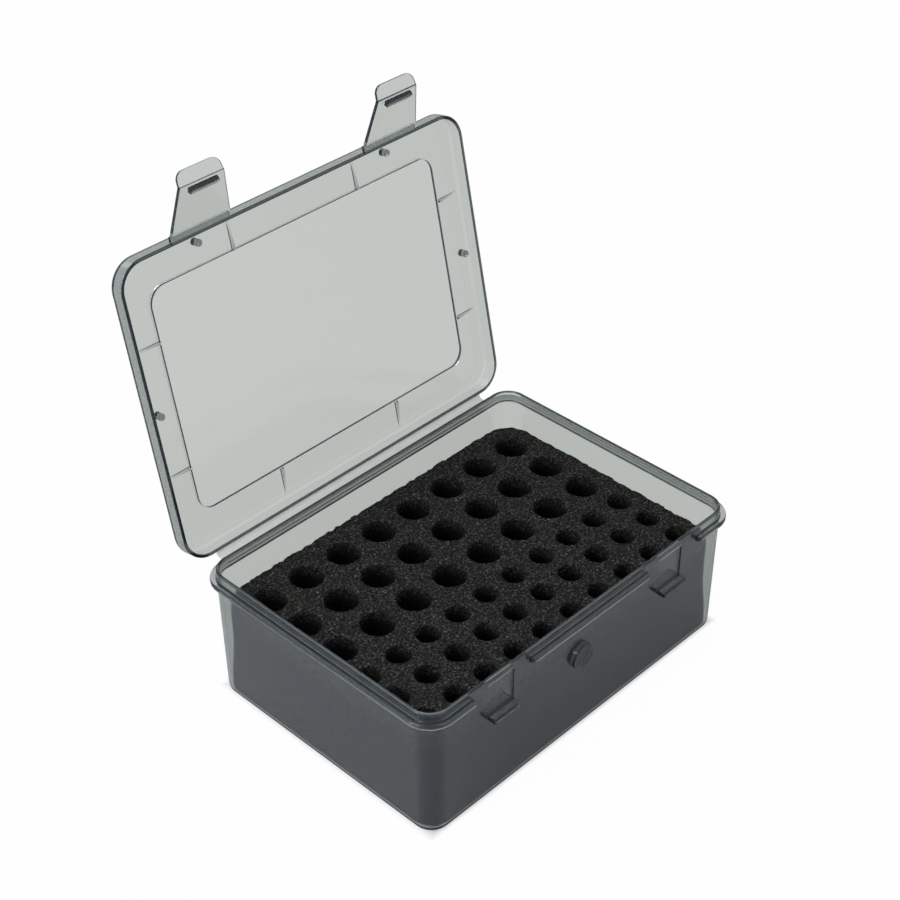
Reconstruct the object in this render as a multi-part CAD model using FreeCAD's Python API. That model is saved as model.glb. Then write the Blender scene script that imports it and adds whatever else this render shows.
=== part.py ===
import FreeCAD, Part
import math
import os
from FreeCAD import Vector

# Millimetres. X is the long way of the case, -Y its front with the latches, +Z up.
# The origin is the centre of the underside. The lid stands open as in use.

# Case base: a drafted tub with a lip above an outer flange
CASE_LENGTH = 171.8
CASE_WIDTH = 122.0
CASE_HEIGHT = 62.0
CASE_WALL = 1.5
CASE_FLOOR = 1.5
CASE_CORNER_R = 9.0
CASE_DRAFT_DEG = 0.75
CASE_BOTTOM_R = 2.8
RIM_BEVEL = 0.4

# Flange round the outside of the lip, which the closed lid rests over
FLANGE_DROP = 3.5
FLANGE_THICK = 2.4
FLANGE_PROUD = 2.6
FLANGE_BEVEL = 0.7
FLANGE_END_R = 1.5

# Lugs that the latches hook below, and the shallow recess in the wall above each
LATCH_END_INSET = 37.0
LUG_WIDTH = 13.8
LUG_PROUD = 3.7
LUG_BELOW_LIP = 20.5
LUG_THICK = 2.2
LUG_BEVEL = 0.8
RECESS_DEPTH = 0.6

# Round boss on the front wall
BOSS_DIAMETER = 12.0
BOSS_FACE_DIAMETER = 8.0
BOSS_PROUD = 1.3
BOSS_X = -4.0
BOSS_BELOW_LIP = 22.3

# Foam tray: three rows of holes for AA cells, three for AAA cells
FOAM_BELOW_LIP = 16.0
FOAM_GAP = 0.25
FOAM_CORNER_R = 13.0
HOLE_SIDES = 24
AA_HOLE_D = 14.2
AA_END_INSET = 15.9
AA_COLUMNS = 8
AA_ROW_PITCH = 20.2
AA_ROWS = 3
AAA_HOLE_D = 10.2
AAA_END_INSET = 13.0
AAA_COLUMNS = 10
AAA_ROW_PITCH = 15.5
AAA_ROWS = 3
CELL_GROUP_GAP = 18.2
BACK_ROW_INSET = 17.6
FRONT_ROW_INSET = 14.8

# Lid: a shallow tray turned over, with a raised field inside
LID_SEAT_GAP = 0.3
LID_SKIRT_DEPTH = 6.0
LID_WALL = 1.5
LID_PANEL = 1.5
LID_TOP_R = 2.2
LID_INNER_BEVEL = 0.7
LID_OPEN_DEG = 101.5
FIELD_MARGIN_X = 14.5
FIELD_MARGIN_Y = 15.7
FIELD_CORNER_R = 7.3
FIELD_STEP = 0.8

# Gussets on the lid's border, and its four pegs
GUSSET_THICK = 0.8
GUSSET_HEIGHT = 1.3
GUSSET_FRONT_SPACING = 64.8
GUSSET_SIDE_SPACING = 54.0
PEG_DIAMETER = 2.8
PEG_HEIGHT = 4.8
PEG_LIP_GAP = 0.3

# Lid hinge: one thin web along the back edge
HINGE_OUT = 2.2
HINGE_BELOW_RIM = 1.4
HINGE_WEB_END_INSET = 10.9
HINGE_WEB_THICK = 0.45

# Latches: plates hinged on pads at the lid's front rim, with a bar that hooks the lugs
LATCH_THICK = 1.5
LATCH_ROOT_WIDTH = 28.2
LATCH_BEND_WIDTH = 21.2
LATCH_TIP_WIDTH = 19.8
LATCH_BEND_BELOW_LUG = 3.3
LATCH_TIP_LENGTH = 5.9
LATCH_TIP_DEG = 33.0
LATCH_CORNER_R = 3.2
LATCH_NOTCH_GAP = 1.1
LATCH_LUG_GAP = 0.7
LATCH_AXIS_OUT = 1.2
LATCH_AXIS_UP = 0.2
LATCH_LEFT_DEG = 70.0
LATCH_RIGHT_DEG = 66.0
CATCH_WIDTH = 13.6
CATCH_PROUD = 2.0
CATCH_THICK = 2.2
CATCH_GAP = 0.3
CATCH_LEAD = 1.0
PAD_THICK = 1.5
PAD_BELOW_RIM = 0.8
LATCH_WEB_REACH = 0.4
LATCH_WEB_THICK = 0.45
WEB_END_GAP = 0.05

# Places that follow from the sizes above
DRAFT = math.tan(math.radians(CASE_DRAFT_DEG))
FLANGE_TOP = CASE_HEIGHT - FLANGE_DROP
FLANGE_BOTTOM = FLANGE_TOP - FLANGE_THICK
FLANGE_X = CASE_LENGTH / 2 + FLANGE_PROUD
FLANGE_Y = CASE_WIDTH / 2 + FLANGE_PROUD
FLANGE_R = CASE_CORNER_R + FLANGE_PROUD
RIM_Z = FLANGE_TOP + LID_SEAT_GAP
BORDER_Z = RIM_Z + LID_SKIRT_DEPTH
FIELD_X = FLANGE_X - FIELD_MARGIN_X
FIELD_Y = FLANGE_Y - FIELD_MARGIN_Y
HINGE_Y = FLANGE_Y + HINGE_OUT
HINGE_Z = RIM_Z - HINGE_BELOW_RIM
LUG_BOTTOM_Z = CASE_HEIGHT - LUG_BELOW_LIP
LATCH_X = CASE_LENGTH / 2 - LATCH_END_INSET
LUG_FRONT_Y = -(CASE_WIDTH / 2 + LUG_PROUD)
LATCH_INNER_Y = LUG_FRONT_Y - LATCH_LUG_GAP
LATCH_AXIS_Y = LATCH_INNER_Y - LATCH_AXIS_OUT
LATCH_AXIS_Z = RIM_Z - PAD_BELOW_RIM + LATCH_AXIS_UP
LATCH_BEND_Z = LUG_BOTTOM_Z - LATCH_BEND_BELOW_LUG
FOAM_TOP = CASE_HEIGHT - FOAM_BELOW_LIP
BOSS_Z = CASE_HEIGHT - BOSS_BELOW_LIP


def wall_half(top_half, z):
    """Half width at height z of a wall that is top_half wide at the rim."""
    return top_half - (CASE_HEIGHT - z) * DRAFT


def rounded_wire(half_x, half_y, radius, z):
    """Closed wire of a rectangle with rounded corners, centred on the Z axis."""
    cx = half_x - radius
    cy = half_y - radius
    edges = []
    for turn, sx, sy in ((0, 1, 1), (90, -1, 1), (180, -1, -1), (270, 1, -1)):
        centre = Vector(sx * cx, sy * cy, z)
        points = []
        for angle in (turn, turn + 45, turn + 90):
            a = math.radians(angle)
            points.append(centre + Vector(radius * math.cos(a), radius * math.sin(a), 0))
        if edges:
            edges.append(Part.makeLine(edges[-1].Vertexes[-1].Point, points[0]))
        edges.append(Part.Arc(*points).toShape())
    edges.append(Part.makeLine(edges[-1].Vertexes[-1].Point, edges[0].Vertexes[0].Point))
    return Part.Wire(edges)


def rounded_block(half_x, half_y, radius, z_low, z_high):
    """Upright block with rounded vertical corners."""
    face = Part.Face(rounded_wire(half_x, half_y, radius, z_low))
    return face.extrude(Vector(0, 0, z_high - z_low))


def drafted_block(inset, z_low, z_high):
    """Block that follows the tub's drafted outside, inset from it all round."""
    wires = []
    for z in (z_low, z_high):
        half_x = wall_half(CASE_LENGTH / 2, z) - inset
        half_y = wall_half(CASE_WIDTH / 2, z) - inset
        wires.append(rounded_wire(half_x, half_y, wall_half(CASE_CORNER_R, z) - inset, z))
    return Part.makeLoft(wires, True, True)


def edges_at(shape, z):
    """Edges of shape that lie in the horizontal plane at z."""
    return [e for e in shape.Edges
            if abs(e.BoundBox.ZMin - z) < 1e-4 and abs(e.BoundBox.ZMax - z) < 1e-4]


def polygon_prism(points, start, length_vector):
    """Prism on a closed polygon of points, moved to start and run along a vector."""
    wire = Part.makePolygon([Vector(*p) + start for p in points + points[:1]])
    return Part.Face(wire).extrude(length_vector)


def slab_x(profile, x_low, x_high):
    """Prism along X on a list of (y, z) points."""
    points = [(0, y, z) for y, z in profile]
    return polygon_prism(points, Vector(x_low, 0, 0), Vector(x_high - x_low, 0, 0))


def turned(shape, y, z, degrees):
    """Shape turned about a line along X through (y, z)."""
    result = shape.copy()
    result.rotate(Vector(0, y, z), Vector(1, 0, 0), degrees)
    return result


def flange_notch(x_middle):
    """Cutter for the gap in the front flange where a latch hangs, with rounded flange ends."""
    half = LATCH_ROOT_WIDTH / 2 + LATCH_NOTCH_GAP
    inner_y = -(CASE_WIDTH / 2 - CASE_WALL / 2)
    front = -FLANGE_Y
    r = FLANGE_END_R
    z = FLANGE_BOTTOM - 1
    edges = []
    for side in (-1, 1):
        x = x_middle + side * half
        foot = Vector(x, inner_y, z)
        bend = Vector(x, front + r, z)
        middle = Vector(x + side * r * (1 - math.sqrt(0.5)), front + r * (1 - math.sqrt(0.5)), z)
        end = Vector(x + side * r, front, z)
        outside = Vector(x + side * r, front - 1, z)
        edges += [Part.makeLine(foot, bend), Part.Arc(bend, middle, end).toShape(),
                  Part.makeLine(end, outside)]
    edges.append(Part.makeLine(edges[2].Vertexes[-1].Point, edges[5].Vertexes[-1].Point))
    edges.append(Part.makeLine(edges[0].Vertexes[0].Point, edges[3].Vertexes[0].Point))
    wire = Part.Wire(Part.__sortEdges__(edges))
    return Part.Face(wire).extrude(Vector(0, 0, FLANGE_THICK + 2))


def flange():
    """Outer flange, bevelled along its edges and open at the front for the latches."""
    ring = rounded_block(FLANGE_X, FLANGE_Y, FLANGE_R, FLANGE_BOTTOM, FLANGE_TOP)
    ring = ring.makeChamfer(FLANGE_BEVEL, edges_at(ring, FLANGE_BOTTOM) + edges_at(ring, FLANGE_TOP))
    for side in (-1, 1):
        ring = ring.cut(flange_notch(side * LATCH_X))
    return ring


def lug(x_middle):
    """Bar on the front wall with a flat underside and its upper front edge bevelled."""
    root_y = -(CASE_WIDTH / 2 - CASE_WALL / 2)
    top = LUG_BOTTOM_Z + LUG_THICK
    profile = [(root_y, LUG_BOTTOM_Z), (LUG_FRONT_Y, LUG_BOTTOM_Z), (LUG_FRONT_Y, top - LUG_BEVEL),
               (LUG_FRONT_Y + LUG_BEVEL, top), (root_y, top)]
    return slab_x(profile, x_middle - LUG_WIDTH / 2, x_middle + LUG_WIDTH / 2)


def latch_recess(x_middle):
    """Cutter for the shallow recess in the wall, from the lug's top up through the flange's gap."""
    low = LUG_BOTTOM_Z + LUG_THICK
    back_low = -(wall_half(CASE_WIDTH / 2, low) - RECESS_DEPTH)
    back_high = -(wall_half(CASE_WIDTH / 2, FLANGE_TOP) - RECESS_DEPTH)
    front = LUG_FRONT_Y - 1
    profile = [(back_low, low), (front, low), (front, FLANGE_TOP), (back_high, FLANGE_TOP)]
    return slab_x(profile, x_middle - LUG_WIDTH / 2, x_middle + LUG_WIDTH / 2)


def front_boss():
    """Low round boss with sloping sides on the front wall."""
    wall_y = -wall_half(CASE_WIDTH / 2, BOSS_Z)
    sunk = CASE_WALL / 2
    slope = (BOSS_DIAMETER - BOSS_FACE_DIAMETER) / 2 / BOSS_PROUD
    return Part.makeCone(BOSS_DIAMETER / 2 + sunk * slope, BOSS_FACE_DIAMETER / 2, sunk + BOSS_PROUD,
                         Vector(BOSS_X, wall_y + sunk, BOSS_Z), Vector(0, -1, 0))


def case_base():
    """The tub: drafted walls, floor, lip, flange and everything moulded on its front."""
    outside = drafted_block(0, 0, CASE_HEIGHT)
    outside = outside.makeFillet(CASE_BOTTOM_R, edges_at(outside, 0))
    solid = outside.fuse(flange())
    for side in (-1, 1):
        solid = solid.cut(latch_recess(side * LATCH_X)).fuse(lug(side * LATCH_X))
    solid = solid.fuse(front_boss())
    inside = drafted_block(CASE_WALL, CASE_FLOOR, CASE_HEIGHT + 1)
    inside = inside.makeChamfer(cavity_bevel(), edges_at(inside, CASE_FLOOR))
    solid = solid.cut(inside).removeSplitter()
    return solid.makeChamfer(RIM_BEVEL, edges_at(solid, CASE_HEIGHT))


def cavity_bevel():
    """Bevel between floor and walls inside the tub, one wall less than the round outside."""
    return max(CASE_BOTTOM_R - CASE_WALL, 0.4)


def cell_holes():
    """Centres and diameters of all the holes in the foam."""
    holes = []
    spread = (AA_ROWS - 1) * AA_ROW_PITCH + CELL_GROUP_GAP + (AAA_ROWS - 1) * AAA_ROW_PITCH
    stretch = (CASE_WIDTH - BACK_ROW_INSET - FRONT_ROW_INSET) / spread
    y = CASE_WIDTH / 2 - BACK_ROW_INSET
    for rows, row_pitch, columns, end_inset, diameter in (
            (AA_ROWS, AA_ROW_PITCH, AA_COLUMNS, AA_END_INSET, AA_HOLE_D),
            (AAA_ROWS, AAA_ROW_PITCH, AAA_COLUMNS, AAA_END_INSET, AAA_HOLE_D)):
        first = -(CASE_LENGTH / 2 - end_inset)
        pitch = -2 * first / (columns - 1)
        for row in range(rows):
            for column in range(columns):
                holes.append((first + column * pitch, y - row * row_pitch * stretch, diameter))
        y -= ((rows - 1) * row_pitch + CELL_GROUP_GAP) * stretch
    return holes


def punch(x, y, diameter):
    """Many-sided prism that cuts one hole through the foam, round to under 0.1 mm."""
    points = []
    for side in range(HOLE_SIDES):
        a = 2 * math.pi * (side + 0.5) / HOLE_SIDES
        points.append((diameter / 2 * math.cos(a), diameter / 2 * math.sin(a), 0))
    return polygon_prism(points, Vector(x, y, CASE_FLOOR - 1), Vector(0, 0, FOAM_TOP - CASE_FLOOR + 2))


def foam_insert():
    """Foam block cut straight down, pushed into the tub, with the cells' holes right through."""
    inset = CASE_WALL + FOAM_GAP
    half_x = wall_half(CASE_LENGTH / 2, CASE_FLOOR) - inset
    half_y = wall_half(CASE_WIDTH / 2, CASE_FLOOR) - inset
    block = rounded_block(half_x, half_y, FOAM_CORNER_R, CASE_FLOOR, FOAM_TOP)
    block = block.makeChamfer(cavity_bevel(), edges_at(block, CASE_FLOOR))
    punches = [punch(x, y, diameter) for x, y, diameter in cell_holes()]
    return block.cut(Part.makeCompound(punches))


def lid_shell():
    """Lid as a turned-over tray, closed on the base, with its field stepped inwards."""
    top = BORDER_Z + LID_PANEL
    shell = rounded_block(FLANGE_X, FLANGE_Y, FLANGE_R, RIM_Z, top)
    shell = shell.makeFillet(LID_TOP_R, edges_at(shell, top))
    hollow = rounded_block(FLANGE_X - LID_WALL, FLANGE_Y - LID_WALL, FLANGE_R - LID_WALL, RIM_Z - 1, BORDER_Z)
    hollow = hollow.makeChamfer(LID_INNER_BEVEL, edges_at(hollow, BORDER_Z))
    shell = shell.cut(hollow)
    field = rounded_block(FIELD_X, FIELD_Y, FIELD_CORNER_R, BORDER_Z - FIELD_STEP, BORDER_Z + LID_PANEL / 2)
    shell = shell.fuse(field)
    inset = LID_PANEL - FIELD_STEP
    recess = rounded_block(FIELD_X - inset, FIELD_Y - inset, FIELD_CORNER_R - inset, top - FIELD_STEP, top + 1)
    return shell.cut(recess)


def gusset(reach):
    """Low triangular rib that is tallest at the field's step and fades out towards the skirt."""
    foot = LID_PANEL / 2
    points = [(0, 0, foot), (0, 0, -GUSSET_HEIGHT), (reach, 0, 0), (reach, 0, foot)]
    return polygon_prism(points, Vector(0, -GUSSET_THICK / 2, 0), Vector(0, GUSSET_THICK, 0))


def lid_gussets():
    """The ribs in pairs on all four sides of the border."""
    ribs = []
    for side in (-1, 1):
        for place in (-GUSSET_SIDE_SPACING / 2, GUSSET_SIDE_SPACING / 2):
            rib = gusset(FIELD_MARGIN_X - 2 * LID_WALL)
            rib.rotate(Vector(0, 0, 0), Vector(0, 0, 1), 0 if side > 0 else 180)
            rib.translate(Vector(side * FIELD_X, place, BORDER_Z))
            ribs.append(rib)
        for place in (-GUSSET_FRONT_SPACING / 2, GUSSET_FRONT_SPACING / 2):
            rib = gusset(FIELD_MARGIN_Y - 2 * LID_WALL)
            rib.rotate(Vector(0, 0, 0), Vector(0, 0, 1), 90 * side)
            rib.translate(Vector(place, side * FIELD_Y, BORDER_Z))
            ribs.append(rib)
    return ribs


def lid_pegs():
    """Four pegs on the border that centre the closed lid from inside the lip."""
    inset = CASE_WALL + PEG_LIP_GAP + PEG_DIAMETER / 2
    front_y = -(CASE_WIDTH / 2 - inset)
    side_x = CASE_LENGTH / 2 - inset
    pegs = []
    for x, y in ((-LATCH_X, front_y), (LATCH_X, front_y), (-side_x, 0), (side_x, 0)):
        low = Vector(x, y, BORDER_Z - PEG_HEIGHT)
        pegs.append(Part.makeCylinder(PEG_DIAMETER / 2, PEG_HEIGHT + LID_PANEL / 2, low))
    return pegs


def latch_pad(x_middle):
    """Ledge on the lid's front rim that the latch's hinge web starts from."""
    z_low = RIM_Z - PAD_BELOW_RIM
    y_low = LATCH_AXIS_Y + LATCH_WEB_REACH
    y_high = -(FLANGE_Y - LID_WALL / 2)
    return slab_x([(y_low, z_low), (y_high, z_low), (y_high, z_low + PAD_THICK), (y_low, z_low + PAD_THICK)],
                  x_middle - LATCH_ROOT_WIDTH / 2, x_middle + LATCH_ROOT_WIDTH / 2)


def lid_closed():
    """The whole lid, closed on the base."""
    solid = lid_shell()
    for piece in lid_gussets() + lid_pegs() + [latch_pad(-LATCH_X), latch_pad(LATCH_X)]:
        solid = solid.fuse(piece)
    return solid.removeSplitter()


def latch_outline(x_middle, tip_z):
    """Front view of a hanging latch: wide at its hinge, narrower at the bend, rounded at the tip."""
    root_z = LATCH_AXIS_Z - LATCH_WEB_REACH
    bend_z = LATCH_BEND_Z
    r = LATCH_CORNER_R
    corner = r * (1 - math.sqrt(0.5))
    half_tip = LATCH_TIP_WIDTH / 2
    sides = []
    for side in (-1, 1):
        root = Vector(x_middle + side * LATCH_ROOT_WIDTH / 2, 0, root_z)
        bend = Vector(x_middle + side * LATCH_BEND_WIDTH / 2, 0, bend_z)
        low = Vector(x_middle + side * half_tip, 0, tip_z + r)
        middle = Vector(x_middle + side * (half_tip - corner), 0, tip_z + corner)
        foot = Vector(x_middle + side * (half_tip - r), 0, tip_z)
        sides.append((root, foot))
        yield Part.makeLine(root, bend)
        yield Part.makeLine(bend, low)
        yield Part.Arc(low, middle, foot).toShape()
    yield Part.makeLine(sides[0][0], sides[1][0])
    yield Part.makeLine(sides[0][1], sides[1][1])


def latch_closed(x_middle):
    """One latch hanging closed: bent plate cut to its outline, with the bar that hooks its lug."""
    inner = LATCH_INNER_Y
    outer = inner - LATCH_THICK
    turn = math.radians(LATCH_TIP_DEG)
    root_z = LATCH_AXIS_Z - LATCH_WEB_REACH
    bend_z = LATCH_BEND_Z
    run_y = -LATCH_TIP_LENGTH * math.sin(turn)
    run_z = -LATCH_TIP_LENGTH * math.cos(turn)
    tip_inner = (inner + run_y, bend_z + run_z)
    tip_outer = (tip_inner[0] - LATCH_THICK * math.cos(turn), tip_inner[1] + LATCH_THICK * math.sin(turn))
    bend_outer = (outer, bend_z + LATCH_THICK * math.tan(turn / 2))
    profile = [(inner, root_z), (inner, bend_z), tip_inner, tip_outer, bend_outer, (outer, root_z)]
    strip = slab_x(profile, x_middle - LATCH_ROOT_WIDTH, x_middle + LATCH_ROOT_WIDTH)
    outline = Part.Face(Part.Wire(Part.__sortEdges__(list(latch_outline(x_middle, tip_inner[1])))))
    outline.translate(Vector(0, inner + LATCH_THICK, 0))
    plate = strip.common(outline.extrude(Vector(0, -4 * LATCH_THICK - LATCH_TIP_LENGTH, 0)))
    top = LUG_BOTTOM_Z - CATCH_GAP
    nose = inner + CATCH_PROUD
    back = inner - LATCH_THICK / 2
    bar = [(back, top), (nose, top), (nose, top - CATCH_THICK + CATCH_LEAD),
           (nose - CATCH_LEAD, top - CATCH_THICK), (back, top - CATCH_THICK)]
    return plate.fuse(slab_x(bar, x_middle - CATCH_WIDTH / 2, x_middle + CATCH_WIDTH / 2)).removeSplitter()


def latch_web(x_middle, degrees):
    """Thin strip from the pad to the latch's root, when the latch stands degrees short of closed."""
    y, z = LATCH_AXIS_Y, LATCH_AXIS_Z
    out_low = -LATCH_WEB_THICK / 2
    out_high = LATCH_WEB_THICK / 2
    start = [(y + LATCH_WEB_REACH, z + out_high), (y + LATCH_WEB_REACH, z + out_low)]
    fold = math.radians(90 - degrees)
    reach = LATCH_WEB_REACH - WEB_END_GAP
    end = []
    for out in (out_low, out_high):
        end.append((y - reach * math.cos(fold) - out * math.sin(fold),
                    z - reach * math.sin(fold) + out * math.cos(fold)))
    half = LATCH_ROOT_WIDTH / 2 - LATCH_WEB_THICK
    return slab_x(start + end, x_middle - half, x_middle + half)


def hinge_web():
    """Thin web bent from the flange's back edge up to the rim of the open lid."""
    open_angle = math.radians(-LID_OPEN_DEG)
    half = HINGE_WEB_THICK / 2
    base_z = FLANGE_BOTTOM + FLANGE_THICK / 2

    def on_open_lid(y, z):
        """Point of the closed lid, turned to where the open lid has it."""
        dy = y - HINGE_Y
        dz = z - HINGE_Z
        return (HINGE_Y + dy * math.cos(open_angle) - dz * math.sin(open_angle),
                HINGE_Z + dy * math.sin(open_angle) + dz * math.cos(open_angle))

    seat = FLANGE_Y + WEB_END_GAP
    rails = []
    for side in (-half, half):
        start = (FLANGE_Y, base_z + side)
        end = on_open_lid(seat, RIM_Z + half - side)
        towards = on_open_lid(seat + HINGE_OUT, RIM_Z + half - side)
        reach = (start[1] - end[1]) / (towards[1] - end[1])
        corner = (end[0] + reach * (towards[0] - end[0]), start[1])
        middle = [(start[i] + 2 * corner[i] + end[i]) / 4 for i in (0, 1)]
        x = -(CASE_LENGTH / 2 - HINGE_WEB_END_INSET)
        rails.append(Part.Arc(Vector(x, *start), Vector(x, *middle), Vector(x, *end)).toShape())
    low, high = rails
    ends = [Part.makeLine(low.Vertexes[i].Point, high.Vertexes[i].Point) for i in (0, 1)]
    wire = Part.Wire(Part.__sortEdges__([low, high] + ends))
    return Part.Face(wire).extrude(Vector(-2 * x, 0, 0))


def opened(shape):
    """A shape of the closed lid, turned with the lid to where it stands open."""
    return turned(shape, HINGE_Y, HINGE_Z, -LID_OPEN_DEG)


def latch_open(x_middle, degrees):
    """A latch swung out from closed by degrees, on the open lid."""
    return opened(turned(latch_closed(x_middle), LATCH_AXIS_Y, LATCH_AXIS_Z, -degrees))


def main():
    nodes = {
        "case_base": case_base(),
        "foam_insert": foam_insert(),
        "lid": opened(lid_closed()),
        "lid_hinge_web": hinge_web(),
        "latch_left": latch_open(-LATCH_X, LATCH_LEFT_DEG),
        "latch_right": latch_open(LATCH_X, LATCH_RIGHT_DEG),
        "latch_hinge_left": opened(latch_web(-LATCH_X, LATCH_LEFT_DEG)),
        "latch_hinge_right": opened(latch_web(LATCH_X, LATCH_RIGHT_DEG)),
    }
    os.makedirs("parts", exist_ok=True)
    for name, shape in nodes.items():
        box = shape.BoundBox
        print(name, shape.ShapeType, len(shape.Solids), shape.isValid(), round(shape.Volume, 1),
              [round(v, 2) for v in (box.XMin, box.XMax, box.YMin, box.YMax, box.ZMin, box.ZMax)])
        shape.exportStep("parts/" + name + ".step")
    print("lid hinge axis y, z:", round(HINGE_Y, 3), round(HINGE_Z, 3))
    axis = opened(Part.Vertex(0, LATCH_AXIS_Y, LATCH_AXIS_Z)).Vertexes[0].Point
    print("latch axis y, z with the lid open:", round(axis.y, 3), round(axis.z, 3))


main()
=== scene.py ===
import math

import bmesh
import bpy
import numpy as np
from mathutils import Matrix, Vector


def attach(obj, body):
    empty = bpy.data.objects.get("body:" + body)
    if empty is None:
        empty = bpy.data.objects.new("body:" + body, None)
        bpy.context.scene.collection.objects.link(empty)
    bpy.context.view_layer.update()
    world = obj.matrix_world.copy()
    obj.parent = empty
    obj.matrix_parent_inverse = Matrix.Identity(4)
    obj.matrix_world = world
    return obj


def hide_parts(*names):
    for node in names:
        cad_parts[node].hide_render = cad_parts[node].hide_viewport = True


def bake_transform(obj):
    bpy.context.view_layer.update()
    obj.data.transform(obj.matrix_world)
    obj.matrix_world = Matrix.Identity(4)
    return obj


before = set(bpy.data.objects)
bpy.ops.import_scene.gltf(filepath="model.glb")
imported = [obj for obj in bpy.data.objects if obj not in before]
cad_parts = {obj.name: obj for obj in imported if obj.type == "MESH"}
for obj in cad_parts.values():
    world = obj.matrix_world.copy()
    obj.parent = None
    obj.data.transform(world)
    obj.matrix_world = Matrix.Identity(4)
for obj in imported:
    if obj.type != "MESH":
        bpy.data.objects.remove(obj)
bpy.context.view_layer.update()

bl_info = {
    "name": "Battery storage case",
    "version": (1, 0, 0),
    "blender": (4, 5, 0),
    "location": "View3D > Sidebar > Battery case",
    "description": "Smoke-grey hinged case with a punched foam block for AA and AAA cells",
    "category": "Object",
}

# Shapes are worked out in millimetres in the frame's axes, and a mesh is in metres.
# X is the long way of the case, -Y its front with the latches, +Z up. SUNK and BITE are how far a
# form runs on into what it is joined to.
MM = 0.001

# Case base. Rounded outlines run round a core rectangle with these half lengths, and OUT is a
# distance from it, so that it is also the radius at a corner.
CORE = np.array((76.9, 52.0))
CORNER_STEPS = 14
CASE_HEIGHT = 62.0
LIP_OUT = 9.0
CASE_WALL = 1.5
FLOOR_Z = 1.5
BASE_OUT = 8.2
DRAFT = math.tan(math.radians(0.75))
BOTTOM_R = 2.8
FLANGE_TOP = 58.5
FLANGE_BOTTOM = 56.1
FLANGE_OUT = 11.6
FLANGE_ROOT = 0.4
NOTCH_HALF = 15.2
NOTCH_END_R = 1.5
LATCH_X = 48.9
LUG_HALF = 6.9
LUG_BOTTOM = 41.5
LUG_TOP = 43.7
LUG_OUT = 12.7
LUG_BEVEL = 0.8
LUG_ROUND = 0.25
LUG_ROUND_MIDDLE = 0.08
RECESS = 0.6
RECESS_FOOT = 0.2
BOSS_X = -4.0
BOSS_Z = 39.7
BOSS_FACE_R = 5.5
BOSS_R = 5.7
BOSS_PROUD = 1.9
BOSS_EDGE_R = 0.3
BOSS_DISH = 0.3
BOSS_SUNK = 0.8
# Places of the mesh's columns along the front where the flange is whole: at the left end, between
# the latches, and at the right end
FRONT_PLAIN = ((-70.0,), (-24.0, -17.0, -11.0, -4.0, 3.0, 10.0, 20.0), (70.0,))

# Lid, as it lies closed on the base
RIM_Z = 58.8
BORDER_Z = 64.8
LID_TOP = 66.3
LID_WALL = 1.5
RIM_R = 0.4
SKIRT_R = 0.7
FIELD_CORE = np.array((66.7, 40.6))
FIELD_OUT = 7.3
FIELD_STEP = 1.05
FIELD_WALL = 1.32
STEP_R = 0.1
GUSSET_THICK = 0.9
GUSSET_HEIGHT = 1.8
GUSSET_SUNK = 0.7
GUSSET_FRONT_X = 32.4
GUSSET_SIDE_Y = 27.0
GUSSET_REACH_X = 11.5
GUSSET_REACH_Y = 12.7
PEG_R = 1.5
PEG_HEIGHT = 3.6
PEG_END_R = 0.35
PEG_SUNK = 0.6
PEG_PLACES = ((-48.9, -57.8), (48.9, -57.8), (-82.7, 0.0), (82.7, 0.0))

# Lid hinge: the line that the lid turns about, and the web along it
HINGE_Y = 65.8
HINGE_Z = 57.4
LID_OPEN = 101.5
WEB_LENGTH = 150.0
WEB_THICK = 0.45
WEB_BITE = 0.05
WEB_LATCH_BITE = 0.03
WEB_END_GAP = 0.02

# Latches, as they hang closed. The half widths are at the root, the bend and the tip, and the
# swing is how far each stands out at rest.
LATCH_AXIS = (-66.6, 58.2)
LATCH_INNER_Y = -65.4
LATCH_THICK = 1.5
LATCH_HALF_WIDTHS = (14.1, 10.6, 9.9)
LATCH_RUN = 19.6
LATCH_TIP = 5.9
LATCH_TIP_DEG = 33.0
LATCH_BEND = 0.8
LATCH_EDGE_R = 0.45
LATCH_CORNER_R = 3.2
LATCH_WEB_REACH = 0.4
LATCH_SWING = {"left": 70.0, "right": 66.0}
CATCH_HALF = 6.8
CATCH_TOP = 41.2
CATCH_THICK = 2.2
CATCH_PROUD = 2.0
CATCH_LEAD = 1.0
CATCH_EDGE = 0.5
PAD_LOW = 58.0
PAD_HIGH = 59.5
PAD_EDGE = 0.3

# Foam block, and its two groups of holes in rows along X. Each hole has a rectangle of foam of its
# own, and steps is how many columns the mesh has along a side of it.
FOAM_HALF = np.array((83.36, 58.46))
FOAM_CORNER_R = 13.0
FOAM_FOOT_CORNER_R = 8.5
FOAM_TOP = 46.0
FOAM_FOOT = 0.8
FOAM_RAGGED = 0.9
FOAM_PATCH_INSET = 0.45
FOAM_SHARP = 60.0
HOLE_GROUPS = (
    {"radius": 7.1, "columns": 8, "pitch": (20.0, 20.2), "back_y": 43.4, "steps": 20},
    {"radius": 5.1, "columns": 10, "pitch": (16.2, 15.5), "back_y": -15.2, "steps": 16},
)
HOLE_ROWS = 3

# Edges of the mouldings that are sharper than this, in degrees, stay sharp.
SHARP = 32.0
# Points nearer than this are merged.
MERGE = 0.002

# Plastic, and the heights at which the foam's painted glints are gone and are at their full strength, so that
# below the top the foam is painted darker, as shade
PLASTIC_IOR = 1.49
GLINTS_GONE_Z = FOAM_TOP - 7.0
GLINTS_FULL_Z = FOAM_TOP - 0.6

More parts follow.
